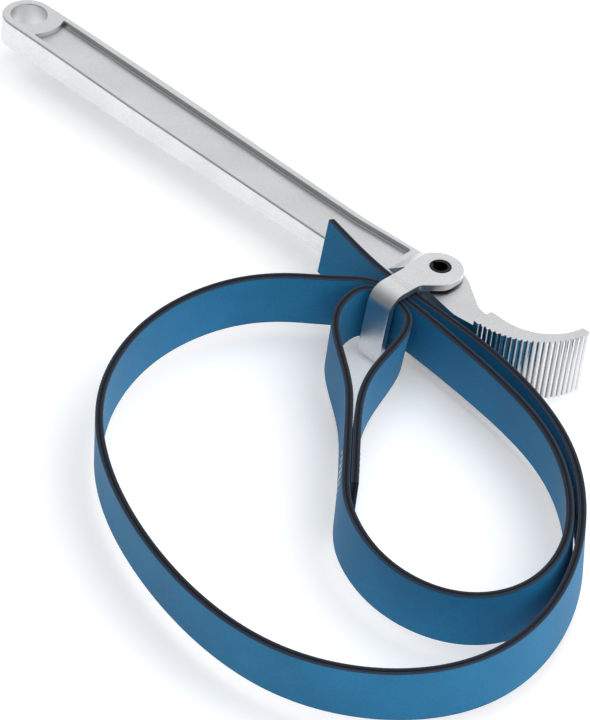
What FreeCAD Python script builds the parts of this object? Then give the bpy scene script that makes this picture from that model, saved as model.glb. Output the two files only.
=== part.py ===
"""Oil filter strap wrench: a forged lever with a toothed shoe, a stirrup on a spring pin, and a long flat belt.

Millimetres. The origin is the centre of the hang hole at mid thickness. +X runs along the lever to the shoe,
+Z is the axis of the pin, and the belt hangs on the -Y side. The whole tool is symmetric about Z = 0.
"""
import FreeCAD, Part
import math
import os

Vector = FreeCAD.Vector

# ---------------------------------------------------------------- driving dimensions

SIZES = {
    # lever
    "hang_hole_radius": 9.0,
    "hang_end_half_width": 13.2,
    "handle_half_width": 14.2,
    "head_half_width": 12.4,
    "collar_half_width": 9.0,
    "hang_half_thick": 7.3,
    "handle_half_thick": 6.5,
    "waist_half_thick": 4.9,
    "handle_edge_radius": 1.2,
    "rim_radius": 0.5,
    "recess_half_width": 9.8,
    "recess_depth": 2.7,
    "recess_end_x": 250.0,
    "hang_ring_radius": 17.5,
    "boss_radius": 10.6,
    "boss_half_thick": 14.0,
    "neck_half_thick": 13.0,
    # shoe
    "shoe_half_thick": 16.4,
    "shoe_centre_x": 313.4,
    "shoe_centre_y": 20.6,
    "tooth_tip_radius": 37.0,
    "tooth_depth": 1.25,
    "tooth_pitch_deg": 4.03,
    "tooth_count": 21,
    "shoe_back_radius": 26.0,
    "shoe_back_x": 319.5,
    "shoe_back_y": 21.0,
    # stirrup
    "pin_x": 275.6,
    "pin_radius": 5.0,
    "pin_wall": 1.6,
    "pin_slot": 1.8,
    "pin_chamfer": 0.5,
    "pin_clearance": 0.05,
    "ear_radius": 11.4,
    "ear_offset_x": 0.4,
    "ear_offset_y": -1.2,
    "ear_inner_z": 14.3,
    "strip_thick": 3.6,
    "strip_left_x": 265.9,
    "strip_width": 13.2,
    "web_outer_y": -36.3,
    "web_lean": 4.0,
    "heel_drop": 4.4,
    "heel_y": -20.0,
    "bend_inner_radius": 3.2,
    "bend_outer_radius": 9.0,
    "heel_radius": 6.0,
    "heel_sweep_radius": 16.0,
    "stirrup_edge_radius": 0.5,
    # belt
    "belt_width": 27.0,
    "belt_thick": 3.5,
    "cover_thick": 0.5,
    # seam thread
    "thread_thick": 0.35,
    "thread_width": 0.8,
    "stitch_length": 2.6,
    "stitch_gap": 1.3,
    "stitch_row_gap": 4.4,
    "stitch_rows": 4,
    "seam_start": 8.0,
}

# The belt's middle line, seen along Z: from the sewn end, round the stirrup's web, twice round, to the tail.
# Each stretch begins where the one before it ends, half way along the run between them.
EYE_ROUTE = [
    (350.8, -134.6), (332.7, -114.5), (312.0, -91.8), (302.3, -72.0), (298.0, -50.5), (292.0, -36.5),
    (283.0, -29.0), (260.0, -29.0), (260.4, -44.2), (264.5, -57.5), (276.5, -69.8), (303.4, -87.4),
    (316.6, -102.3),
]
INNER_LOOP_ROUTE = [
    (330.2, -117.4), (343.9, -132.7), (357.5, -148.2), (388.0, -162.2), (417.3, -159.6), (435.8, -144.7),
    (443.0, -119.6), (433.6, -89.1), (409.5, -62.0), (378.4, -42.0), (340.0, -33.0), (284.0, -25.3),
]
OUTER_LOOP_ROUTE = [
    (268.0, -24.9), (257.0, -27.2), (247.3, -41.2), (231.6, -54.9), (219.0, -76.4), (214.0, -106.0),
    (217.8, -138.0), (235.5, -176.0), (268.0, -205.5), (310.0, -226.3), (358.0, -238.1), (402.4, -234.9),
    (436.9, -213.1), (456.9, -182.4), (461.7, -148.2), (450.5, -108.0), (426.5, -71.3), (394.0, -41.5),
    (352.0, -25.5), (312.0, -19.9),
]
# The tail from under the stirrup to its free end, where it leans over the handle:
# the upper edge's x and y, how far the lower edge lies to the left of it, how far the upper edge has risen,
# and how far the lower edge falls short, because the tail is cut at a slant.
FREE_END_ROUTE = [
    (290.0, -19.9, 0.0, 0.0, 0.0), (266.0, -19.9, 0.0, 0.0, 0.0), (243.0, -17.3, 3.0, 1.1, 2.2),
    (219.7, -13.3, 7.2, 4.0, 6.8),
]

STRAIGHT_ANGLE = math.radians(0.5)
ARC_SHARE = 0.49


# ---------------------------------------------------------------- document helpers

def make_sheet(doc):
    """Put every driving dimension in a cell of its own, with its name as the alias."""
    sheet = doc.addObject("Spreadsheet::Sheet", "Sizes")
    for row, (name, value) in enumerate(SIZES.items(), start=1):
        sheet.set(f"A{row}", name)
        sheet.set(f"B{row}", str(value))
        sheet.setAlias(f"B{row}", name)
    doc.recompute()
    return sheet


def bind(obj, bindings):
    """Tie properties of an object to formulas of the sheet's cells."""
    for prop, formula in bindings.items():
        obj.setExpression(prop, formula)


def rounded_outline(corners):
    """Lines and tangent arcs of a closed outline. Each corner is (x, y) or (x, y, radius)."""
    count = len(corners)
    joints = []
    for i in range(count):
        corner = corners[i]
        here = Vector(corner[0], corner[1], 0)
        before = Vector(corners[i - 1][0], corners[i - 1][1], 0)
        after = Vector(corners[(i + 1) % count][0], corners[(i + 1) % count][1], 0)
        radius = corner[2] if len(corner) > 2 else 0.0
        joints.append(corner_arc(before, here, after, radius))
    shapes = []
    for i in range(count):
        start, middle, end = joints[i]
        if middle is not None:
            shapes.append(Part.Arc(start, middle, end))
        following = joints[(i + 1) % count][0]
        if end.distanceToPoint(following) > 1e-6:
            shapes.append(Part.LineSegment(end, following))
    return shapes


def corner_arc(before, here, after, radius):
    """Start, middle and end of the arc that rounds one corner, or the corner itself."""
    inward = (before - here).normalize()
    outward = (after - here).normalize()
    half = inward.getAngle(outward) / 2
    if radius <= 0 or math.pi / 2 - half < 1e-6:
        return here, None, here
    tangent = radius / math.tan(half)
    bisector = (inward + outward).normalize()
    middle = here + bisector * (radius / math.sin(half) - radius)
    return here + inward * tangent, middle, here + outward * tangent


def plain_sketch(doc, name, shapes, plane="XY"):
    """A sketch outside any body, on the XY plane or on the XZ plane."""
    sketch = doc.addObject("Sketcher::SketchObject", name)
    if plane == "XZ":
        sketch.Placement = FreeCAD.Placement(Vector(), FreeCAD.Rotation(Vector(1, 0, 0), 90))
    sketch.addGeometry(shapes, False)
    return sketch


def body_sketch(body, name, shapes, plane="XY_Plane", offset=0.0):
    """A sketch on one of the body's own origin planes, moved along the plane's normal."""
    sketch = body.newObject("Sketcher::SketchObject", name)
    support = [f for f in body.Origin.OriginFeatures if f.Role == plane][0]
    sketch.AttachmentSupport = [(support, "")]
    sketch.MapMode = "FlatFace"
    sketch.AttachmentOffset = FreeCAD.Placement(Vector(0, 0, offset), FreeCAD.Rotation())
    sketch.addGeometry(shapes, False)
    return sketch


def extrusion(doc, name, sketch, length):
    """A solid both ways from its sketch, with its whole length tied to the sheet."""
    solid = doc.addObject("Part::Extrusion", name)
    solid.Base = sketch
    solid.DirMode = "Normal"
    solid.Solid = True
    solid.Symmetric = True
    bind(solid, {"LengthFwd": length})
    return solid


def cylinder(doc, name, radius, height, x="0"):
    """A cylinder along Z, centred on the middle plane."""
    solid = doc.addObject("Part::Cylinder", name)
    bind(solid, {
        "Radius": radius,
        "Height": height,
        "Placement.Base.x": x,
        "Placement.Base.z": f"-({height}) / 2",
    })
    return solid


def boolean(doc, kind, name, first, second):
    """Part::Cut or Part::Common of two solids."""
    result = doc.addObject(kind, name)
    result.Base = first
    result.Tool = second
    return result


# ---------------------------------------------------------------- lever

def handle_block(doc, size):
    """The bar, from the hang end to the boss: its plan outline cut to its side outline, edges rounded."""
    end = size("hang_end_half_width")
    wide = size("handle_half_width")
    head = size("head_half_width")
    pin_x = size("pin_x")
    plan = plain_sketch(doc, "handle_plan", rounded_outline([
        (-end, -end, end - 0.1), (90.0, -wide, 900.0), (215.0, -(wide - 0.8), 300.0), (pin_x, -head),
        (pin_x, head), (215.0, wide - 0.8, 300.0), (90.0, wide, 900.0), (-end, end, end - 0.1),
    ]))
    hang = size("hang_half_thick")
    middle = size("handle_half_thick")
    waist = size("waist_half_thick")
    top = [
        (-20.0, hang), (26.0, hang, 600.0), (84.0, middle, 1500.0), (216.0, waist, 120.0), (pin_x, waist + 3.6),
    ]
    side = plain_sketch(doc, "handle_side", rounded_outline(both_sides(top)), "XZ")
    plan_solid = extrusion(doc, "handle_plan_solid", plan, "2 * Sizes.boss_half_thick")
    side_solid = extrusion(doc, "handle_side_solid", side, "4 * Sizes.handle_half_width")
    block = boolean(doc, "Part::Common", "handle_sharp", plan_solid, side_solid)
    doc.recompute()
    edges = [number for number, edge in enumerate(block.Shape.Edges, start=1) if is_long_edge(edge, pin_x)]
    return rounded(doc, "handle_block", block, edges, size("handle_edge_radius"))


def both_sides(top):
    """A closed outline from its upper half and the same half mirrored below."""
    return top + [(corner[0], -corner[1]) + corner[2:] for corner in reversed(top)]


def is_long_edge(edge, end_x):
    """Whether an edge runs along one of the bar's four outer corners, and not across its cut end."""
    middle = edge.valueAt((edge.FirstParameter + edge.LastParameter) / 2)
    return end_x - middle.x > 1.0 and abs(middle.y) > 8.0 and abs(middle.z) > 1.0


def rounded(doc, name, base, edges, radius):
    """Part::Fillet of one radius on the numbered edges of a solid."""
    result = doc.addObject("Part::Fillet", name)
    result.Base = base
    result.Edges = [(number, radius, radius) for number in edges]
    return result


def collar_block(doc, size):
    """The ramp that thickens the bar into the boss."""
    wide = size("collar_half_width")
    waist = size("waist_half_thick")
    boss = size("boss_half_thick")
    pin_x = size("pin_x")
    plan = plain_sketch(doc, "collar_plan", rounded_outline([
        (246.0, -wide), (pin_x, -wide), (pin_x, wide), (246.0, wide),
    ]))
    top = [(246.0, waist), (253.5, waist + 2.4, 8.0), (263.0, boss, 4.0), (pin_x, boss)]
    side = plain_sketch(doc, "collar_side", rounded_outline(both_sides(top)), "XZ")
    plan_solid = extrusion(doc, "collar_plan_solid", plan, "2 * Sizes.boss_half_thick")
    side_solid = extrusion(doc, "collar_side_solid", side, "4 * Sizes.handle_half_width")
    return boolean(doc, "Part::Common", "collar_block", plan_solid, side_solid)


def recess_tools(doc, size):
    """The long pocket of each face: constant depth below the rim, ending on a ring round the hang hole."""
    wide = size("recess_half_width")
    last = size("recess_end_x")
    depth = size("recess_depth")
    floor_hang = size("hang_half_thick") - depth
    floor_middle = size("handle_half_thick") - depth
    floor_waist = size("waist_half_thick") - depth
    plan = plain_sketch(doc, "recess_plan", rounded_outline([
        (6.0, -wide), (last, -wide, 1.5), (last, wide, 1.5), (6.0, wide),
    ]))
    shapes = []
    for side in (1, -1):
        shapes += rounded_outline([
            (0.0, side * floor_hang), (26.0, side * floor_hang, 600.0), (84.0, side * floor_middle, 1500.0),
            (216.0, side * floor_waist, 120.0), (last + 5.0, side * (floor_waist + 2.4)),
            (last + 5.0, side * 30.0), (0.0, side * 30.0),
        ])
    profile = plain_sketch(doc, "recess_side", shapes, "XZ")
    plan_solid = extrusion(doc, "recess_plan_solid", plan, "4 * Sizes.boss_half_thick")
    side_solid = extrusion(doc, "recess_side_solid", profile, "2 * Sizes.handle_half_width")
    pockets = boolean(doc, "Part::Common", "recess_blocks", plan_solid, side_solid)
    ring = cylinder(doc, "hang_ring", "Sizes.hang_ring_radius", "4 * Sizes.boss_half_thick")
    return boolean(doc, "Part::Cut", "recess_tools", pockets, ring)


def shoe_outline(size):
    """The shoe from above: a convex toothed front, a concave back and a blunt tip."""
    centre = Vector(size("shoe_centre_x"), size("shoe_centre_y"), 0)
    tip_radius = size("tooth_tip_radius")
    root_radius = tip_radius - size("tooth_depth")
    pitch = math.radians(size("tooth_pitch_deg"))
    start = math.radians(-90.5)

    def at(radius, angle):
        return centre + Vector(math.cos(angle), math.sin(angle), 0) * radius

    points = [Vector(310.8, centre.y - tip_radius + 0.5, 0)]
    for tooth in range(int(size("tooth_count"))):
        angle = start + tooth * pitch
        points.append(at(tip_radius, angle))
        points.append(at(tip_radius, angle + 0.3 * pitch))
        points.append(at(root_radius, angle + 0.65 * pitch))
    last = start + int(size("tooth_count")) * pitch
    points.append(at(tip_radius, last))
    points.append(at(tip_radius, last + 0.4 * pitch))
    back = Vector(size("shoe_back_x"), size("shoe_back_y"), 0)
    back_radius = size("shoe_back_radius")
    arc_points = [
        back + Vector(math.cos(math.radians(a)), math.sin(math.radians(a)), 0) * back_radius
        for a in (-5.0, -50.0, -97.0)
    ]
    edges = [Part.LineSegment(a, b) for a, b in zip(points, points[1:])]
    blunt = points[-1] + Vector(-1.6, 1.3, 0)
    edges.append(Part.LineSegment(points[-1], blunt))
    edges.append(Part.LineSegment(blunt, arc_points[0]))
    edges.append(Part.Arc(*arc_points))
    corner = Vector(311.6, -5.0, 0)
    edges.append(Part.LineSegment(arc_points[2], corner))
    edges.append(Part.LineSegment(corner, points[0]))
    return edges


def lever_forging(doc, size):
    """One forging: recessed bar with a hang hole, bored boss, neck, and the toothed shoe."""
    block = handle_block(doc, size)
    collar = collar_block(doc, size)
    boss = cylinder(doc, "boss", "Sizes.boss_radius", "2 * Sizes.boss_half_thick", "Sizes.pin_x")
    neck_sketch = plain_sketch(doc, "neck_plan", rounded_outline([
        (266.0, -9.0), (274.0, -11.5), (299.5, -16.4, 14.0), (312.0, -15.0), (314.0, -5.2),
        (303.5, -3.6, 9.0), (287.0, 7.6, 14.0), (280.0, 10.5), (266.0, 9.0),
    ]))
    neck = extrusion(doc, "neck", neck_sketch, "2 * Sizes.neck_half_thick")
    shoe_sketch = plain_sketch(doc, "shoe_plan", shoe_outline(size))
    shoe = extrusion(doc, "shoe", shoe_sketch, "2 * Sizes.shoe_half_thick")
    solid = doc.addObject("Part::MultiFuse", "lever_solid")
    solid.Shapes = [block, collar, boss, neck, shoe]
    solid.Refine = True
    recessed = boolean(doc, "Part::Cut", "lever_recessed", solid, recess_tools(doc, size))
    height = "4 * Sizes.boss_half_thick"
    hang_hole = cylinder(doc, "hang_hole", "Sizes.hang_hole_radius", height)
    bore = cylinder(doc, "pin_bore", "Sizes.pin_radius + Sizes.pin_clearance", height, "Sizes.pin_x")
    drilled = boolean(doc, "Part::Cut", "lever_drilled", recessed, hang_hole)
    sharp = boolean(doc, "Part::Cut", "lever_sharp", drilled, bore)
    sharp.Refine = True
    doc.recompute()
    edges = [number for number, edge in enumerate(sharp.Shape.Edges, start=1) if is_rim(edge, size)]
    return rounded(doc, "lever", sharp, edges, size("rim_radius"))


def is_rim(edge, size):
    """Whether an edge is the mouth of the hang hole, or runs along a recess at its rim or its floor."""
    middle = edge.valueAt((edge.FirstParameter + edge.LastParameter) / 2)
    if isinstance(edge.Curve, Part.Circle) and abs(edge.Curve.Radius - size("hang_hole_radius")) < 1e-3:
        return True
    beside_recess = abs(abs(middle.y) - size("recess_half_width")) < 0.02
    return beside_recess and edge.Length > size("rim_radius") and abs(middle.z) > 4.5


# ---------------------------------------------------------------- stirrup and pin

def beside(line, shift):
    """A line of points moved to its left by shift, with mitred corners."""
    points = [Vector(*point, 0) for point in line]
    lefts = []
    for first, second in zip(points, points[1:]):
        along = (second - first).normalize()
        lefts.append(Vector(-along.y, along.x, 0))
    lefts = [lefts[0]] + lefts + [lefts[-1]]
    moved = []
    for point, before, after in zip(points, lefts, lefts[1:]):
        place = point + (before + after) * (shift / (1 + before.dot(after)))
        moved.append((place.x, place.y))
    return moved


def with_radii(line, radii):
    """The line's points as corners, each inner one with its radius."""
    inner = [(x, y, radius) for (x, y), radius in zip(line[1:-1], radii)]
    return [line[0]] + inner + [line[-1]]


def stirrup(doc, size):
    """A steel strip bent into a U: two round ears on the pin, joined by a web that leans out to its heel."""
    body = doc.addObject("PartDesign::Body", "stirrup_body")
    inner = size("ear_inner_z")
    outer = inner + size("strip_thick")
    web_top = size("web_outer_y")
    web_heel = web_top - size("web_lean")
    heel = -outer - size("heel_drop")
    ear = size("ear_radius")
    ear_x = size("pin_x") + size("ear_offset_x")
    ear_top = size("ear_offset_y") + ear
    outside = [(ear, outer), (web_top, outer), (web_heel, heel), (size("heel_y"), -outer), (ear, -outer)]
    outside_radii = [size("bend_outer_radius"), size("heel_radius"), size("heel_sweep_radius")]
    inside_radii = [size("bend_inner_radius"), size("bend_inner_radius"), size("heel_sweep_radius")]
    section = body_sketch(body, "stirrup_section", rounded_outline(
        with_radii(outside, outside_radii) + with_radii(beside(outside, size("strip_thick")), inside_radii)[::-1]
    ), "YZ_Plane", size("pin_x"))
    strip = body.newObject("PartDesign::Pad", "stirrup_strip")
    strip.Profile = section
    strip.Midplane = True
    bind(strip, {"Length": "2 * Sizes.ear_radius + 4"})
    doc.recompute()
    left = size("strip_left_x")
    right = left + size("strip_width")
    outline = rounded_outline([
        (left, web_heel - 5.0), (right, web_heel - 5.0), (right, -18.0, 5.0), (ear_x + ear, -8.0, 9.0),
        (ear_x + ear, ear_top, ear - 0.01), (ear_x - ear, ear_top, ear - 0.01), (ear_x - ear, -4.0, 30.0),
        (left, -14.0, 30.0),
    ])
    surround = rounded_outline([(240.0, -60.0), (310.0, -60.0), (310.0, 30.0), (240.0, 30.0)])
    trim = body.newObject("PartDesign::Pocket", "stirrup_outline")
    trim.Profile = body_sketch(body, "stirrup_plan", outline + surround)
    trim.Midplane = True
    trim.Type = "ThroughAll"
    hole = body.newObject("PartDesign::Pocket", "stirrup_holes")
    hole.Profile = body_sketch(body, "stirrup_hole_plan", [
        Part.Circle(Vector(size("pin_x"), 0, 0), Vector(0, 0, 1), size("pin_radius"))
    ])
    hole.Midplane = True
    hole.Type = "ThroughAll"
    doc.recompute()
    fillet = body.newObject("PartDesign::Fillet", "stirrup_edges")
    fillet.Base = (hole, [""])
    fillet.UseAllEdges = True
    bind(fillet, {"Radius": "Sizes.stirrup_edge_radius"})
    body.Tip = fillet
    return body


def spring_pin(doc, size):
    """A slotted tube of spring steel, pressed into the ears and running in the lever's bore."""
    body = doc.addObject("PartDesign::Body", "pin_body")
    centre = Vector(size("pin_x"), 0, 0)
    up = Vector(0, 0, 1)
    radius = size("pin_radius")
    ring = body_sketch(body, "pin_ring", [
        Part.Circle(centre, up, radius), Part.Circle(centre, up, radius - size("pin_wall"))
    ])
    tube = body.newObject("PartDesign::Pad", "pin_tube")
    tube.Profile = ring
    tube.Midplane = True
    bind(tube, {"Length": "2 * (Sizes.ear_inner_z + Sizes.strip_thick) - 0.4"})
    doc.recompute()
    half = size("pin_slot") / 2
    slot = body.newObject("PartDesign::Pocket", "pin_slot_cut")
    slot.Profile = body_sketch(body, "pin_slot_plan", rounded_outline([
        (centre.x - radius - 1.0, -half), (centre.x, -half), (centre.x, half), (centre.x - radius - 1.0, half),
    ]))
    slot.Midplane = True
    slot.Type = "ThroughAll"
    doc.recompute()
    chamfer = body.newObject("PartDesign::Chamfer", "pin_ends")
    chamfer.Base = (slot, end_edges(slot.Shape, radius))
    bind(chamfer, {"Size": "Sizes.pin_chamfer"})
    body.Tip = chamfer
    return body


def end_edges(shape, radius):
    """Names of the round edges of this radius that lie flat at the two ends of a shape."""
    names = []
    for number, edge in enumerate(shape.Edges, start=1):
        round_edge = isinstance(edge.Curve, Part.Circle) and abs(edge.Curve.Radius - radius) < 1e-3
        if round_edge:
            names.append(f"Edge{number}")
    return names


# ---------------------------------------------------------------- belt

def turn_at(before, corner, after):
    """Signed angle by which a route turns left at a corner."""
    along_in = (corner - before).normalize()
    along_out = (after - corner).normalize()
    return math.atan2(along_in.cross(along_out).z, along_in.dot(along_out))


def route_pieces(points):
    """Straight runs and tangent arcs through a route: (kind, start, end, centre, turn) for each."""
    points = [Vector(x, y, 0) for x, y in points]
    inner = [p for a, p, b in zip(points, points[1:], points[2:]) if abs(turn_at(a, p, b)) > STRAIGHT_ANGLE]
    corners = [points[0]] + inner + [points[-1]]
    pieces = []
    here = corners[0]
    for before, corner, after in zip(corners, corners[1:], corners[2:]):
        turn = turn_at(before, corner, after)
        tangent = ARC_SHARE * min(before.distanceToPoint(corner), corner.distanceToPoint(after))
        radius = tangent / math.tan(abs(turn) / 2)
        along_in = (corner - before).normalize()
        start = corner - along_in * tangent
        end = corner + (after - corner).normalize() * tangent
        side = Vector(-along_in.y, along_in.x, 0) * math.copysign(1, turn)
        pieces.append(("run", here, start, None, 0.0))
        pieces.append(("arc", start, end, start + side * radius, turn))
        here = end
    pieces.append(("run", here, corners[-1], None, 0.0))
    return pieces


def shifted_curve(piece, shift):
    """One run or arc moved to the left of the route by shift."""
    kind, start, end, centre, turn = piece
    if kind == "run":
        along = (end - start).normalize()
        left = Vector(-along.y, along.x, 0) * shift
        return Part.LineSegment(start + left, end + left)
    inward = math.copysign(1, turn)
    radius = (start - centre).Length
    scale = (radius - inward * shift) / radius
    first = (start - centre) * scale
    half = FreeCAD.Rotation(Vector(0, 0, 1), math.degrees(turn / 2))
    full = FreeCAD.Rotation(Vector(0, 0, 1), math.degrees(turn))
    return Part.Arc(centre + first, centre + half.multVec(first), centre + full.multVec(first))


def ply_outline(pieces, right, left):
    """Closed outline of one ply, between two distances to the left of the belt's middle line."""
    near = [shifted_curve(piece, right) for piece in pieces]
    far = [shifted_curve(piece, left) for piece in pieces]
    ends = [
        Part.LineSegment(near[0].StartPoint, far[0].StartPoint),
        Part.LineSegment(near[-1].EndPoint, far[-1].EndPoint),
    ]
    return near + far + ends


def belt_ply(doc, name, pieces, right, left):
    """One ply of one stretch, standing on edge across the middle plane."""
    body = doc.addObject("PartDesign::Body", name + "_body")
    pad = body.newObject("PartDesign::Pad", name + "_pad")
    pad.Profile = body_sketch(body, name + "_plan", ply_outline(pieces, right, left))
    pad.Midplane = True
    bind(pad, {"Length": "Sizes.belt_width"})
    body.Tip = pad
    return body


def belt_stretches():
    """The three upright stretches of the belt as routes that meet on their shared straight runs."""
    routes = [("eye", EYE_ROUTE), ("inner_loop", INNER_LOOP_ROUTE), ("outer_loop", OUTER_LOOP_ROUTE)]
    stretches = {}
    for i, (name, route) in enumerate(routes):
        points = list(route)
        if i > 0:
            points.insert(0, halfway(routes[i - 1][1][-1], route[0]))
        following = routes[i + 1][1][0] if i < len(routes) - 1 else None
        points.append(halfway(route[-1], following) if following else FREE_END_ROUTE[0][:2])
        stretches[name] = points
    return stretches


def halfway(first, second):
    """The point midway between two points of a route."""
    return (first[0] + second[0]) / 2, (first[1] + second[1]) / 2


def belt(doc, size):
    """Tension core and two woven covers along each stretch of the belt."""
    half = size("belt_thick") / 2
    core = half - size("cover_thick")
    layers = {"core": (-core, core), "inner_cover": (core, half), "outer_cover": (-half, -core)}
    plies = {}
    for layer, (right, left) in layers.items():
        for stretch, points in belt_stretches().items():
            name = f"{stretch}_{layer}"
            plies[name] = belt_ply(doc, name, route_pieces(points), right, left)
        name = f"free_end_{layer}"
        plies[name] = free_end_ply(doc, name, size("belt_width"), right, left)
    return plies


def free_end_ply(doc, name, width, right, left):
    """One ply of the tail, which twists from upright to a lean."""
    wires = []
    for i, (x, y, lean, rise, short) in enumerate(FREE_END_ROUTE):
        before = FREE_END_ROUTE[max(i - 1, 0)]
        after = FREE_END_ROUTE[min(i + 1, len(FREE_END_ROUTE) - 1)]
        along = Vector(after[0] - before[0], after[1] - before[1], after[3] - before[3]).normalize()
        level = Vector(-along.y, along.x, 0).normalize()
        fall = level * lean - along.cross(level) * math.sqrt(width ** 2 - lean ** 2)
        across = along.cross(fall).normalize()
        upper = Vector(x, y, width / 2 + rise)
        lower = upper + fall - along * short
        corners = [upper + across * right, upper + across * left, lower + across * left, lower + across * right]
        wires.append(Part.makePolygon(corners + corners[:1]))
    ply = doc.addObject("Part::Feature", name + "_ply")
    ply.Shape = Part.makeLoft(wires, True, True)
    return ply


def seam_stitches(doc, size):
    """Rows of thread across the seam, where they show on the two outer faces of the sewn legs."""
    inner_start, inner_end = Vector(*EYE_ROUTE[0], 0), Vector(*EYE_ROUTE[2], 0)
    outer_start = Vector(*INNER_LOOP_ROUTE[2], 0)
    outer_end = Vector(*halfway(EYE_ROUTE[-1], INNER_LOOP_ROUTE[0]), 0)
    proud = (size("belt_thick") + size("thread_thick")) / 2
    step = size("stitch_length") + size("stitch_gap")
    rows = int(size("belt_width") / step)
    solids = []
    for start, end, side in ((inner_start, inner_end, -1), (outer_start, outer_end, 1)):
        along = (end - start).normalize()
        first = start + along * (inner_start - start).dot(along)
        face = Vector(-along.y, along.x, 0) * side * proud
        turned = FreeCAD.Rotation(Vector(1, 0, 0), along)
        for column in range(int(size("stitch_rows"))):
            distance = size("seam_start") + column * size("stitch_row_gap")
            for row in range(rows):
                height = (row - (rows - 1) / 2) * step
                solids.append(stitch(size, turned, first + face + along * distance, height))
    group = doc.addObject("Part::Feature", "seam_stitches_group")
    group.Shape = Part.makeCompound(solids)
    return group


def stitch(size, turned, place, height):
    """One exposed run of thread, lying across the belt's face."""
    wide = size("thread_width")
    thread = size("thread_thick")
    long = size("stitch_length")
    solid = Part.makeBox(wide, thread, long, Vector(-wide / 2, -thread / 2, -long / 2))
    solid.Placement = FreeCAD.Placement(Vector(place.x, place.y, height), turned)
    return solid


# ---------------------------------------------------------------- the whole tool

def build():
    """Make the document, check every object and write one STEP file for each sub-part."""
    doc = FreeCAD.newDocument("oil_filter_wrench")
    sheet = make_sheet(doc)

    def size(name):
        return float(sheet.get(name))

    nodes = {
        "lever_forging": lever_forging(doc, size),
        "stirrup": stirrup(doc, size),
        "spring_pin": spring_pin(doc, size),
    }
    nodes.update(belt(doc, size))
    nodes["seam_stitches"] = seam_stitches(doc, size)
    doc.recompute()
    for name, obj in nodes.items():
        obj.Label = name
    check_document(doc, nodes)
    os.makedirs("parts", exist_ok=True)
    for name, obj in nodes.items():
        obj.Shape.exportStep(f"parts/{name}.step")


def check_document(doc, nodes):
    """Stop before anything is written if an object failed or a sub-part has no valid solid."""
    for obj in doc.Objects:
        failed = [state for state in obj.State if state in ("Invalid", "Error")]
        if failed:
            raise RuntimeError(f"{obj.Name} is {failed}")
    for name, obj in nodes.items():
        shape = obj.Shape
        if shape.isNull() or not shape.isValid() or not shape.Solids:
            raise RuntimeError(f"{name} has no valid solid")
        box = shape.BoundBox
        print(f"{name}: {len(shape.Solids)} solids, {shape.Volume:.0f} mm3, "
              f"x {box.XMin:.1f}..{box.XMax:.1f}, y {box.YMin:.1f}..{box.YMax:.1f}, "
              f"z {box.ZMin:.1f}..{box.ZMax:.1f}")


build()
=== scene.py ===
"""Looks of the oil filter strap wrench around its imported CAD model. Metres, in the CAD model's frame."""

import math
import random

import bmesh
import bpy
from mathutils import Matrix, Vector


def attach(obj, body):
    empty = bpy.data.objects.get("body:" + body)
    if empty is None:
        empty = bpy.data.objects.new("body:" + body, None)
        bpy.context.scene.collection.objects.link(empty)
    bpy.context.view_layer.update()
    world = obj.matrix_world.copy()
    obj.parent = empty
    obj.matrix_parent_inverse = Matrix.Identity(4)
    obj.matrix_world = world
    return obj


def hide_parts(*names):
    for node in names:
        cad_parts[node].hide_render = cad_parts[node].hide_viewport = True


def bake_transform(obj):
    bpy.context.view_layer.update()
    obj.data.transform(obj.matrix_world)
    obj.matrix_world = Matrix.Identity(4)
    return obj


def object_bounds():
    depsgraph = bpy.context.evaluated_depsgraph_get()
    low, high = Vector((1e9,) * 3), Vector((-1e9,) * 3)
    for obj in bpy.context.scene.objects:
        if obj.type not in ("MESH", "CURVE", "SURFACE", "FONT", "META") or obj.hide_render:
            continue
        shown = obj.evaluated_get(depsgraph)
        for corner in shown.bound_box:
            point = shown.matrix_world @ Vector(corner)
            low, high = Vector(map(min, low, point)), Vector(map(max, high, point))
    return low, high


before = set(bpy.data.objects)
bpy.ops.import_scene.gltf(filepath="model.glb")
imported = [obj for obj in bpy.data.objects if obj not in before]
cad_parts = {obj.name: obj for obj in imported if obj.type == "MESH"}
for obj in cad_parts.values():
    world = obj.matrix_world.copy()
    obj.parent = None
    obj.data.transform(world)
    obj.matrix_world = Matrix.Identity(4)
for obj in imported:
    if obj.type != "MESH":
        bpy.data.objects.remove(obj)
cad_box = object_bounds()

MM = 0.001

# The belt's upper edge, seen along Z, from the sewn end to the tail: x, y, lean and rise in millimetres.
# Lean is how far the lower edge lies to the left of the upper edge, which is the inside of each loop.
# Rise is how far the upper edge has climbed above its level on the flat part.
EYE = [
    (350.8, -134.6, 0.0, 0.0), (332.7, -114.5, 0.0, 0.0), (312.0, -91.8, -0.5, 0.0),
    (302.3, -72.0, -0.5, 0.0),
    (298.0, -50.5, 2.0, 0.0), (292.0, -36.5, 2.5, 0.0), (283.0, -28.9, 0.5, 0.0), (258.4, -28.6, 0.0, 0.0),
    (260.0, -44.2, 0.0, 0.0), (264.5, -57.5, -0.5, 0.0), (276.5, -69.8, -0.5, 0.0), (303.4, -87.4, -0.5, 0.0),
    (316.6, -102.3, 0.0, 0.0),
]
INNER_LOOP = [
    (330.2, -117.4, 0.0, 0.0), (343.9, -132.7, -0.5, 0.0), (357.5, -148.2, -2.0, 0.0),
    (388.0, -162.2, -0.5, 0.0), (417.3, -159.6, 1.0, 0.0), (435.8, -144.7, 0.0, 0.0),
    (443.0, -119.6, -2.8, 0.0), (433.6, -89.1, -3.2, 0.0), (409.5, -62.0, -3.0, 0.0),
    (378.4, -42.0, -3.2, 0.0), (340.0, -33.0, -3.0, 0.0), (284.0, -25.3, -1.2, 0.0),
]
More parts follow.
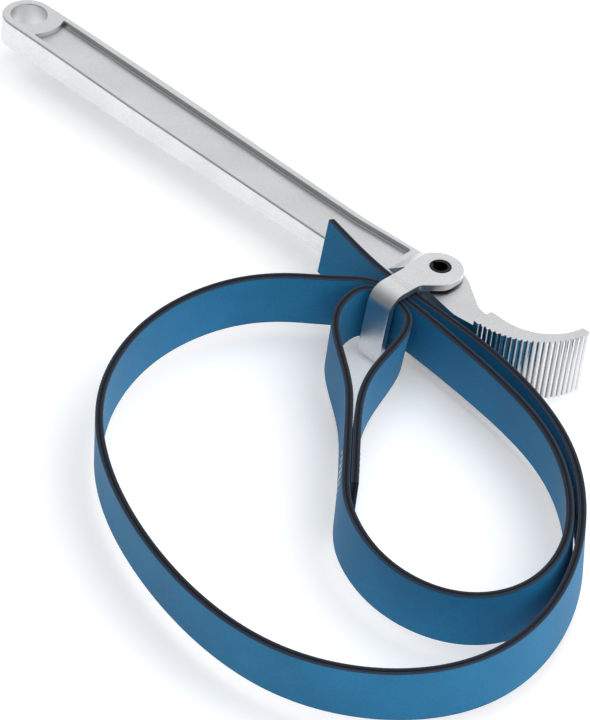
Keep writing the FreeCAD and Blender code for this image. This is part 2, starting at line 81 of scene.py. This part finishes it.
OUTER_LOOP = [
    (268.0, -24.9, -0.4, 0.0), (257.0, -27.2, 0.0, 0.0), (247.3, -41.2, -1.0, 0.0), (231.6, -54.9, -1.6, 0.0),
    (219.0, -76.4, -1.4, 0.0), (214.0, -106.0, -0.8, 0.0), (217.8, -138.0, 0.0, 0.0),
    (235.5, -176.0, 1.0, 0.0), (268.0, -205.5, 1.4, 0.0), (310.0, -226.0, 3.0, 0.0),
    (358.0, -237.6, 3.8, 0.0), (402.4, -234.9, 3.2, 0.0), (436.9, -213.1, 1.8, 0.0),
    (456.9, -182.4, -0.4, 0.0), (461.7, -148.2, -2.0, 0.0), (450.5, -108.0, -2.8, 0.0),
    (426.5, -71.3, -2.8, 0.0), (394.0, -41.5, -1.5, 0.0), (352.0, -25.5, 0.0, 0.0), (312.0, -19.9, 0.0, 0.0),
]
FREE_END = [(266.0, -19.9, 0.0, 0.0), (243.0, -17.2, 3.0, 0.8), (219.7, -13.3, 7.2, 4.0)]
TAIL_SLANT = 6.8 * MM
TAIL_SLANT_START = 268.0 * MM

BELT_HALF_WIDTH = 13.5 * MM
CORE_HALF_THICK = 1.25 * MM
COVER_THICK = 0.5 * MM
STEPS_PER_POINT = 12
SMOOTHING_PASSES = 40
SHARP_ANGLE = 50.0

WEAVE_PITCH = 0.55 * MM

GRAIN_SCALE = 1300.0
CREASES = (-21.6 * MM, -22.9 * MM, -24.2 * MM)
CREASE_HALF_WIDTH = 0.11 * MM
CREASE_ABOVE = 15.0 * MM
GROOVE_REACH = 2.5 * MM
TEETH_START_X = 300.0 * MM
UPRIGHT_SLOPE = 0.3

PLY_COUNT = 3
PLY_GROOVE = 0.14 * MM
PLY_ARC_STEPS = 5
COVER_ROUND = 0.2 * MM
COVER_DROP = 0.12 * MM
COVER_ARC_STEPS = 3
# How far down a cover's face its rows of points lie. The two outer rows end the dark cut edge.
COVER_ROWS = (0.03, 0.2, 0.4, 0.6, 0.8, 0.97)

STITCH_ROWS = 4
STITCHES_IN_ROW = 6
STITCH_PITCH = 3.9 * MM
STITCH_LENGTH = 2.8 * MM
STITCH_ROW_GAP = 4.4 * MM
LEG_GAP = 3.75 * MM
SEAM_START = 8.0 * MM
THREAD_RADIUS = 0.32 * MM
THREAD_SIDES = 8
THREAD_STEPS = 8
STITCH_UNEVENNESS = 0.25 * MM
STITCH_SEED = 7

SKY_FRONT = 0.2
SKY_BACK = 0.88
FLOOR_GLOW = 0.22
FLOOR_HALF_SIZE = 3.0
FLOOR_GAP = 0.2 * MM

CAMERA_AZIMUTH = math.radians(39.867)
CAMERA_ELEVATION = math.radians(38.743)
CAMERA_ROLL = math.radians(7.21)
CAMERA_DISTANCE = 1.595833
CAMERA_TARGET = Vector((0.266948, -0.083288, 0.0))
CAMERA_LENS = 180.0


# ---------------------------------------------------------------- materials

def new_material(name):
    """An empty node material with its surface shader, and two short ways to add nodes and links."""
    material = bpy.data.materials.new(name)
    material.use_nodes = True
    tree = material.node_tree
    shader = tree.nodes["Principled BSDF"]

    def node(kind, **inputs):
        made = tree.nodes.new(kind)
        for key, value in inputs.items():
            made.inputs[key.replace("_", " ")].default_value = value
        return made

    return material, shader, node, tree.links.new


def ramp(node, link, source, stops):
    """A colour ramp over a value, from (position, colour) stops."""
    made = node("ShaderNodeValToRGB")
    elements = made.color_ramp.elements
    while len(elements) < len(stops):
        elements.new(0.5)
    for element, (position, colour) in zip(elements, stops):
        element.position = position
        element.color = colour
    link(source, made.inputs["Fac"])
    return made.outputs["Color"]


def grey(level):
    """An opaque grey."""
    return (level, level, level, 1.0)


def worked_out(node, link, operation, first, *numbers):
    """A Math node's result: its first input is a link, and each later one a link or a plain number."""
    made = node("ShaderNodeMath")
    made.operation = operation
    link(first, made.inputs[0])
    for socket, number in zip(made.inputs[1:], numbers):
        if isinstance(number, (int, float)):
            socket.default_value = number
        else:
            link(number, socket)
    return made.outputs[0]


def noise(node, link, place, scale, detail=4.0):
    """Noise over the object's own coordinates."""
    made = node("ShaderNodeTexNoise", Scale=scale, Detail=detail)
    link(place, made.inputs["Vector"])
    return made.outputs["Fac"]


def bump(node, link, height, distance, strength, after=None):
    """A bump that follows a height, in metres, on top of an earlier normal."""
    made = node("ShaderNodeBump", Strength=strength, Distance=distance)
    link(height, made.inputs["Height"])
    if after is not None:
        link(after, made.inputs["Normal"])
    return made.outputs["Normal"]


def matt_chrome(name, level, grain, roughness, creases=(), polished_past=None):
    """Matt chrome plate with the fine grain of the blasted steel below, with painted shade in its grooves and
    corners.

    Creases are Y places of bend lines, painted darker as shade. Upright faces past an X place are polished
    instead of matt.
    """
    material, shader, node, link = new_material(name)
    place = node("ShaderNodeTexCoord").outputs["Object"]
    shader.inputs["Metallic"].default_value = 1.0
    cloudy = ramp(node, link, noise(node, link, place, 35.0), [
        (0.3, grey(level - 0.04)), (0.7, grey(level + 0.02)),
    ])
    speckle = ramp(node, link, noise(node, link, place, GRAIN_SCALE, 2.0), [
        (0.3, grey(0.93)), (0.7, grey(1.04)),
    ])
    tint = blended(node, link, "MULTIPLY", cloudy, speckle)
    blasted = bump(node, link, noise(node, link, place, GRAIN_SCALE, 3.0), grain, 0.6)
    forged = bump(node, link, noise(node, link, place, 120.0, 3.0), 0.12 * MM, 0.35, blasted)
    if creases:
        # Painted shade: thin darker lines along the bend creases of the stirrup.
        line = crease_lines(node, link, place, creases)
        shade = ramp(node, link, line, [(0.0, grey(1.0)), (1.0, grey(0.62))])
        tint = blended(node, link, "MULTIPLY", tint, shade)
    # The groove darkening multiplied into the base colour here is painted shade.
    link(blended(node, link, "MULTIPLY", tint, groove_shade(node, link)), shader.inputs["Base Color"])
    polish = ramp(node, link, noise(node, link, place, 60.0), [
        (0.3, grey(roughness - 0.05)), (0.7, grey(roughness + 0.07)),
    ])
    if polished_past is not None:
        bright = ramp(node, link, noise(node, link, place, 60.0), [(0.3, grey(0.10)), (0.7, grey(0.16))])
        polish = blended(node, link, "MIX", polish, bright, upright_past(node, link, place, polished_past))
    link(polish, shader.inputs["Roughness"])
    link(forged, shader.inputs["Normal"])
    return material


def groove_shade(node, link):
    """Painted shade: white on open surfaces and grey down in narrow grooves, where little light comes in."""
    closed = node("ShaderNodeAmbientOcclusion", Distance=GROOVE_REACH)
    return ramp(node, link, closed.outputs["AO"], [(0.2, grey(0.35)), (0.72, grey(1.0))])


def upright_past(node, link, place, start):
    """One on upright faces past an X place, and nought elsewhere."""
    parts = node("ShaderNodeSeparateXYZ")
    link(place, parts.inputs[0])
    past = worked_out(node, link, "GREATER_THAN", parts.outputs["X"], start)
    facing = node("ShaderNodeSeparateXYZ")
    link(node("ShaderNodeNewGeometry").outputs["True Normal"], facing.inputs[0])
    upright = worked_out(node, link, "COMPARE", facing.outputs["Z"], 0.0, UPRIGHT_SLOPE)
    return worked_out(node, link, "MULTIPLY", past, upright)


def crease_lines(node, link, place, creases):
    """A mask for painted shade in the bend creases: one on thin lines across the upper arm of the stirrup,
    and nought elsewhere.
    """
    parts = node("ShaderNodeSeparateXYZ")
    link(place, parts.inputs[0])
    total = None
    for crease in creases:
        line = worked_out(node, link, "COMPARE", parts.outputs["Y"], crease, CREASE_HALF_WIDTH)
        total = line if total is None else worked_out(node, link, "ADD", total, line)
    above = worked_out(node, link, "GREATER_THAN", parts.outputs["Z"], CREASE_ABOVE)
    return worked_out(node, link, "MULTIPLY", total, above)


def blended(node, link, mode, first, second, share=None):
    """Two colours combined, at full strength or by a share that varies over the surface."""
    mixed = node("ShaderNodeMix")
    mixed.data_type = "RGBA"
    mixed.blend_type = mode
    mixed.inputs["Factor"].default_value = 1.0
    if share is not None:
        link(share, mixed.inputs["Factor"])
    link(first, mixed.inputs[6])
    link(second, mixed.inputs[7])
    return mixed.outputs[2]


def black_steel():
    """Oiled black spring steel."""
    material, shader, node, link = new_material("black_spring_steel")
    place = node("ShaderNodeTexCoord").outputs["Object"]
    shader.inputs["Metallic"].default_value = 0.9
    tint = ramp(node, link, noise(node, link, place, 300.0), [(0.3, grey(0.012)), (0.75, grey(0.045))])
    link(tint, shader.inputs["Base Color"])
    shader.inputs["Roughness"].default_value = 0.34
    link(bump(node, link, noise(node, link, place, 1500.0), 0.02 * MM, 0.5), shader.inputs["Normal"])
    return material


def belt_value(node, name):
    """One of the numbers that strip_mesh stores on the belt's points."""
    made = node("ShaderNodeAttribute")
    made.attribute_name = name
    return made.outputs["Fac"]


def belt_fabric():
    """Blue coated fabric, dark at its cut edges, with a weave that shows through the coating."""
    material, shader, node, link = new_material("blue_coated_fabric")
    threads = []
    for direction in ("along", "across"):
        turns = worked_out(node, link, "MULTIPLY", belt_value(node, direction), 2.0 * math.pi / WEAVE_PITCH)
        threads.append(worked_out(node, link, "SINE", turns))
    weave = worked_out(node, link, "MULTIPLY", *threads)
    place = node("ShaderNodeTexCoord").outputs["Object"]
    cloudy = noise(node, link, place, 45.0)
    face = ramp(node, link, cloudy, [
        (0.25, (0.009, 0.146, 0.306, 1.0)),
        (0.5, (0.012, 0.168, 0.342, 1.0)),
        (0.8, (0.018, 0.190, 0.377, 1.0)),
    ])
    cut = ramp(node, link, cloudy, [(0.3, (0.020, 0.036, 0.066, 1.0)), (0.7, (0.030, 0.050, 0.086, 1.0))])
    tint = blended(node, link, "MIX", face, cut, belt_value(node, "edge"))
    speck = ramp(node, link, noise(node, link, place, 900.0, 2.0), [(0.35, grey(0.90)), (0.65, grey(1.0))])
    link(blended(node, link, "MULTIPLY", tint, speck), shader.inputs["Base Color"])
    rough = ramp(node, link, cloudy, [(0.2, grey(0.56)), (0.8, grey(0.68))])
    link(rough, shader.inputs["Roughness"])
    shader.inputs["Sheen Weight"].default_value = 0.03
    shader.inputs["Specular IOR Level"].default_value = 0.2
    woven = bump(node, link, weave, 0.03 * MM, 0.5)
    uneven = bump(node, link, noise(node, link, place, 200.0), 0.10 * MM, 0.25, woven)
    link(uneven, shader.inputs["Normal"])
    return material


def belt_core():
    """Dark rubberised plies, paler where the fabric between them is cut."""
    material, shader, node, link = new_material("rubberised_plies")
    tint = ramp(node, link, belt_value(node, "layer"), [
        (0.0, (0.012, 0.022, 0.042, 1.0)),
        (0.16, (0.026, 0.034, 0.052, 1.0)),
        (0.34, (0.005, 0.006, 0.009, 1.0)),
        (0.60, (0.004, 0.005, 0.007, 1.0)),
        (0.80, (0.024, 0.029, 0.040, 1.0)),
        (1.0, (0.010, 0.013, 0.020, 1.0)),
    ])
    place = node("ShaderNodeTexCoord").outputs["Object"]
    fibres = ramp(node, link, noise(node, link, place, 1400.0, 3.0), [(0.3, grey(0.75)), (0.7, grey(1.15))])
    link(blended(node, link, "MULTIPLY", tint, fibres), shader.inputs["Base Color"])
    shader.inputs["Roughness"].default_value = 0.7
    shader.inputs["Specular IOR Level"].default_value = 0.2
    link(bump(node, link, noise(node, link, place, 1800.0), 0.05 * MM, 0.6), shader.inputs["Normal"])
    return material


def sewing_thread():
    """Pale twisted thread."""
    material, shader, node, link = new_material("pale_thread")
    place = node("ShaderNodeTexCoord").outputs["Object"]
    tint = ramp(node, link, noise(node, link, place, 500.0), [
        (0.3, (0.62, 0.62, 0.58, 1.0)), (0.7, (0.84, 0.84, 0.80, 1.0)),
    ])
    link(tint, shader.inputs["Base Color"])
    shader.inputs["Roughness"].default_value = 0.7
    link(bump(node, link, noise(node, link, place, 3000.0), 0.04 * MM, 0.7), shader.inputs["Normal"])
    return material


# ---------------------------------------------------------------- belt

def belt_path():
    """Points every few millimetres along the whole belt, and the number of the first point of each stretch.

    Each sample is (x, y, lean, rise) on a smooth quadratic spline past the control points.
    """
    stretches = [EYE, INNER_LOOP, OUTER_LOOP, FREE_END]
    controls = [Vector(point) for stretch in stretches for point in stretch]
    ends = [controls[0]] + [(a + b) / 2 for a, b in zip(controls[1:-2], controls[2:-1])] + [controls[-1]]
    samples = []
    starts = [0]
    boundaries = [len(EYE), len(EYE) + len(INNER_LOOP), len(EYE) + len(INNER_LOOP) + len(OUTER_LOOP)]
    for i in range(len(ends) - 1):
        if i + 1 in boundaries:
            starts.append(len(samples))
        corner = controls[i + 1]
        for step in range(STEPS_PER_POINT):
            t = step / STEPS_PER_POINT
            samples.append(ends[i] * (1 - t) ** 2 + corner * 2 * t * (1 - t) + ends[i + 1] * t ** 2)
    samples.append(ends[-1])
    for _ in range(SMOOTHING_PASSES):
        middle = [(a + b * 2 + c) / 4 for a, b, c in zip(samples, samples[1:], samples[2:])]
        samples = [samples[0]] + middle + [samples[-1]]
    return samples, starts


def belt_frames(samples):
    """Where the belt's section stands at each sample: upper edge, lower edge, left direction and distance."""
    width = 2 * BELT_HALF_WIDTH
    points = [Vector((x, y, rise)) * MM + Vector((0, 0, BELT_HALF_WIDTH)) for x, y, _, rise in samples]
    frames = []
    distance = 0.0
    for i, sample in enumerate(samples):
        before = points[max(i - 1, 0)]
        after = points[min(i + 1, len(points) - 1)]
        along = (after - before).normalized()
        level = Vector((-along.y, along.x, 0.0)).normalized()
        lean = sample[2] * MM
        fall = level * lean - along.cross(level) * math.sqrt(width ** 2 - lean ** 2)
        if i > 0:
            distance += (points[i] - points[i - 1]).length
        frames.append((points[i], points[i] + fall, along.cross(fall).normalized(), distance))
    return slanted(frames)


def slanted(frames):
    """The same frames, with the lower edge drawn back more and more towards the tail's slanted end."""
    end = frames[-1][0].x
    start = next(i for i in range(len(frames) - 1, 0, -1) if frames[i][0].x > TAIL_SLANT_START)
    turned = frames[:start]
    for upper, lower, left, distance in frames[start:]:
        share = (TAIL_SLANT_START - upper.x) / (TAIL_SLANT_START - end)
        back = Vector((TAIL_SLANT * max(share, 0.0) ** 1.5, 0.0, 0.0))
        turned.append((upper, lower + back, left, distance))
    return turned


def core_section():
    """The core's section, with rounded plies at both edges, as (to the left, beyond the edge, end).

    End is 0 at the upper edge, 1 at the lower edge, and 2 for a share of the way down between them.
    """
    ply = 2 * CORE_HALF_THICK / PLY_COUNT
    edge = []
    for number in range(PLY_COUNT):
        for step in range(PLY_ARC_STEPS):
            t = step / PLY_ARC_STEPS
            edge.append((-CORE_HALF_THICK + (number + t) * ply, PLY_GROOVE * (math.sin(math.pi * t) - 1.0)))
    edge.append((CORE_HALF_THICK, -PLY_GROOVE))
    upper = [(across, rise, 0) for across, rise in edge]
    lower = [(across, rise, 1) for across, rise in reversed(edge)]
    return upper + lower


def cover_section(side):
    """A cover's section on one side of the core, with its corners rounded."""
    near = side * CORE_HALF_THICK
    far = side * (CORE_HALF_THICK + COVER_THICK)
    profile = [(near, -COVER_DROP)]
    for step in range(COVER_ARC_STEPS + 1):
        turn = step / COVER_ARC_STEPS * math.pi / 2
        profile.append((
            far - side * COVER_ROUND * (1 - math.sin(turn)),
            -COVER_DROP - COVER_ROUND * (1 - math.cos(turn)),
        ))
    upper = [(across, rise, 0) for across, rise in profile]
    rows = [(far, share, 2) for share in COVER_ROWS]
    lower = [(across, rise, 1) for across, rise in reversed(profile)]
    return upper + rows + lower


def section_point(place, section):
    """One point of a section where the belt stands at that place."""
    upper, lower, left, _ = place
    across, rise, end = section
    down = (lower - upper).normalized()
    if end == 0:
        return upper + left * across - down * rise
    if end == 1:
        return lower + left * across + down * rise
    return upper.lerp(lower, rise) + left * across


def strip_mesh(name, frames, section):
    """A closed strip: one section swept along the frames, capped at both ends.

    Its points store the distance along the belt, the distance across it, the layer from the right to the
    left side of the core, and whether they are on the cut edge.
    """
    mesh = bpy.data.meshes.new(name)
    built = bmesh.new()
    layers = {key: built.verts.layers.float.new(key) for key in ("along", "across", "layer", "edge")}
    rings = []
    for place in frames:
        ring = []
        for part in section:
            vert = built.verts.new(section_point(place, part))
            vert[layers["along"]] = place[3]
            vert[layers["across"]] = BELT_HALF_WIDTH - vert.co.z
            vert[layers["layer"]] = (part[0] + CORE_HALF_THICK) / (2 * CORE_HALF_THICK)
            vert[layers["edge"]] = 0.0 if part[2] == 2 else 1.0
            ring.append(vert)
        rings.append(ring)
    count = len(section)
    for first, second in zip(rings, rings[1:]):
        for i in range(count):
            following = (i + 1) % count
            built.faces.new((first[i], first[following], second[following], second[i]))
    built.faces.new(reversed(rings[0]))
    built.faces.new(rings[-1])
    bmesh.ops.recalc_face_normals(built, faces=built.faces[:])
    built.to_mesh(mesh)
    built.free()
    mesh.shade_smooth()
    return mesh


def add_piece(name, mesh, material):
    """An object of the scene with one material."""
    piece = bpy.data.objects.new(name, mesh)
    bpy.context.scene.collection.objects.link(piece)
    mesh.materials.append(material)
    return piece


def smooth_by_angle(piece, degrees):
    """Sharp edges only where the surface turns by more than an angle."""
    bpy.context.view_layer.objects.active = piece
    piece.select_set(True)
    bpy.ops.object.shade_smooth_by_angle(angle=math.radians(degrees))
    piece.select_set(False)


def lowest_sample(samples, first, last):
    """The sample of a stretch that lies furthest towards -Y, where the outer loop is split."""
    return min(range(first, last), key=lambda i: samples[i].y)


def make_belt(fabric, core):
    """Every stretch of the belt, as a core and two covers that stand for the CAD solids."""
    samples, starts = belt_path()
    frames = belt_frames(samples)
    split = lowest_sample(samples, starts[2], starts[3])
    stretches = [
        ("eye", "eye", 0, starts[1], "belt"),
        ("inner_loop", "inner_loop", starts[1], starts[2], "belt"),
        ("outer_loop_first_half", "outer_loop", starts[2], split, "belt"),
        ("outer_loop_second_half", "outer_loop", split, starts[3], None),
        ("free_end", "free_end", starts[3], len(frames) - 1, "free_end"),
    ]
    plies = [
        ("core", core_section(), core, "belt_core"),
        ("inner_cover", cover_section(1), fabric, "belt_cover"),
        ("outer_cover", cover_section(-1), fabric, "belt_cover"),
    ]
    for stretch, node, first, last, body in stretches:
        for ply, section, material, slot in plies:
            mesh = strip_mesh(f"{stretch}_strap_{ply}", frames[first:last + 1], section)
            piece = add_piece(f"{stretch}_strap_{ply}", mesh, material)
            smooth_by_angle(piece, SHARP_ANGLE)
            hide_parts(f"{node}_{ply}")
            if body is None:
                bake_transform(piece)
            else:
                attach(piece, body)
    return frames


# ---------------------------------------------------------------- seam

def thread_arc(built, start, end, out):
    """One stitch: a thin round thread that rises out of the belt, lies on it and goes back in."""
    along = end - start
    direction = along.normalized()
    side = direction.cross(out).normalized()
    rings = []
    for step in range(THREAD_STEPS + 1):
        t = step / THREAD_STEPS
        rise = math.sin(math.pi * t) ** 0.5 * THREAD_RADIUS * 1.1 - THREAD_RADIUS * 0.6
        centre = start + along * t + out * rise
        ring = []
        for number in range(THREAD_SIDES):
            angle = 2 * math.pi * number / THREAD_SIDES
            offset = side * math.cos(angle) + out * math.sin(angle)
            ring.append(built.verts.new(centre + offset * THREAD_RADIUS))
        rings.append(ring)
    for first, second in zip(rings, rings[1:]):
        for number in range(THREAD_SIDES):
            following = (number + 1) % THREAD_SIDES
            built.faces.new((first[number], first[following], second[following], second[number]))
    built.faces.new(reversed(rings[0]))
    built.faces.new(rings[-1])


def make_seam(frames, material):
    """Rows of stitches on the two outer faces of the sewn legs, a little uneven as sewn ones are."""
    random.seed(STITCH_SEED)
    built = bmesh.new()
    face_out = CORE_HALF_THICK + COVER_THICK
    sewn_end = frames[0][3]
    for row in range(STITCH_ROWS):
        wanted = sewn_end + SEAM_START + row * STITCH_ROW_GAP
        place = next(f for f in frames if f[3] >= wanted)
        upper, lower, left, _ = place
        for sign, shift in ((-1.0, face_out), (1.0, face_out + LEG_GAP)):
            out = left * sign
            for number in range(STITCHES_IN_ROW):
                middle = BELT_HALF_WIDTH + (number - (STITCHES_IN_ROW - 1) / 2) * STITCH_PITCH
                share = middle / (2 * BELT_HALF_WIDTH)
                centre = upper.lerp(lower, share) + out * shift
                half = (lower - upper).normalized() * STITCH_LENGTH / 2
                slant = left.cross(Vector((0, 0, 1))) * random.uniform(-1.0, 1.0) * STITCH_UNEVENNESS
                thread_arc(built, centre - half - slant, centre + half + slant, out)
    bmesh.ops.recalc_face_normals(built, faces=built.faces[:])
    mesh = bpy.data.meshes.new("seam_threads")
    built.to_mesh(mesh)
    built.free()
    mesh.shade_smooth()
    piece = add_piece("seam_threads", mesh, material)
    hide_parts("seam_stitches")
    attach(piece, "belt")


# ---------------------------------------------------------------- metal

def finish_metal():
    """The CAD solids of the lever, stirrup and pin keep their shape and take a better surface."""
    finishes = {
        "lever_forging": matt_chrome(
            "matt_chrome_forging", 0.78, 0.03 * MM, 0.36, polished_past=TEETH_START_X,
        ),
        "stirrup": matt_chrome("matt_chrome_strip", 0.83, 0.02 * MM, 0.34, CREASES),
        "spring_pin": black_steel(),
    }
    for name, material in finishes.items():
        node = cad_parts[name]
        node.data.materials.clear()
        node.data.materials.append(material)


# ---------------------------------------------------------------- studio

def make_camera():
    """A long lens at the height and angle from which the tool is shown."""
    right = Vector((math.cos(CAMERA_AZIMUTH), math.sin(CAMERA_AZIMUTH), 0.0))
    ahead = Vector((-math.sin(CAMERA_AZIMUTH), math.cos(CAMERA_AZIMUTH), 0.0))
    up = Vector((0.0, 0.0, 1.0))
    forward = ahead * math.cos(CAMERA_ELEVATION) - up * math.sin(CAMERA_ELEVATION)
    above = up * math.cos(CAMERA_ELEVATION) + ahead * math.sin(CAMERA_ELEVATION)
    x_axis = right * math.cos(CAMERA_ROLL) + above * math.sin(CAMERA_ROLL)
    y_axis = above * math.cos(CAMERA_ROLL) - right * math.sin(CAMERA_ROLL)
    data = bpy.data.cameras.new("camera")
    data.lens = CAMERA_LENS
    data.sensor_width = 36.0
    data.sensor_fit = "AUTO"
    data.clip_start = 0.05
    data.clip_end = 50.0
    camera = bpy.data.objects.new("camera", data)
    bpy.context.scene.collection.objects.link(camera)
    turn = Matrix((x_axis, y_axis, -forward)).transposed().to_4x4()
    camera.matrix_world = Matrix.Translation(CAMERA_TARGET - forward * CAMERA_DISTANCE) @ turn
    bpy.context.scene.camera = camera


def area_light(name, place, target, size, power):
    """A square soft light that points at a target and isn't mirrored, so metal shows the sky and floor."""
    data = bpy.data.lights.new(name, "AREA")
    data.shape = "SQUARE"
    data.size = size
    data.energy = power
    light = bpy.data.objects.new(name, data)
    bpy.context.scene.collection.objects.link(light)
    light.location = place
    light.rotation_euler = (Vector(target) - Vector(place)).to_track_quat("-Z", "Y").to_euler()
    light.visible_glossy = False


def make_studio():
    """A pale floor under the tool, a pale sky and two soft lights."""
    mesh = bpy.data.meshes.new("floor")
    half = FLOOR_HALF_SIZE
    level = cad_box[0].z - FLOOR_GAP
    mesh.from_pydata([(-half, -half, level), (half, -half, level), (half, half, level), (-half, half, level)],
                     [], [(0, 1, 2, 3)])
    material, shader, _, _ = new_material("pale_floor")
    shader.inputs["Base Color"].default_value = grey(0.93)
    shader.inputs["Roughness"].default_value = 0.9
    shader.inputs["Specular IOR Level"].default_value = 0.1
    shader.inputs["Emission Color"].default_value = grey(1.0)
    shader.inputs["Emission Strength"].default_value = FLOOR_GLOW
    floor = add_piece("floor", mesh, material)
    make_sky()
    middle = (cad_box[0] + cad_box[1]) / 2
    area_light("top_light", middle + Vector((0.65, 0.1, 1.6)), middle, 3.2, 33.0)
    area_light("side_light", middle + Vector((1.4, -0.6, 0.8)), middle, 0.7, 1.5)
    bpy.context.scene.view_settings.view_transform = "Standard"


def make_sky():
    """An even sky that is bright behind the tool and dim in front of it, so that metal edges stand out."""
    world = bpy.data.worlds.new("studio")
    world.use_nodes = True
    tree = world.node_tree
    place = tree.nodes.new("ShaderNodeTexCoord")
    parts = tree.nodes.new("ShaderNodeSeparateXYZ")
    tree.links.new(place.outputs["Generated"], parts.inputs[0])
    reach = tree.nodes.new("ShaderNodeMapRange")
    reach.inputs["From Min"].default_value = -0.7
    reach.inputs["From Max"].default_value = 0.35
    reach.inputs["To Min"].default_value = SKY_FRONT
    reach.inputs["To Max"].default_value = SKY_BACK
    tree.links.new(parts.outputs["Y"], reach.inputs["Value"])
    background = tree.nodes["Background"]
    background.inputs["Color"].default_value = (0.96, 0.98, 1.0, 1.0)
    tree.links.new(reach.outputs["Result"], background.inputs["Strength"])
    bpy.context.scene.world = world


make_camera()
make_studio()
finish_metal()
belt_places = make_belt(belt_fabric(), belt_core())
make_seam(belt_places, sewing_thread())
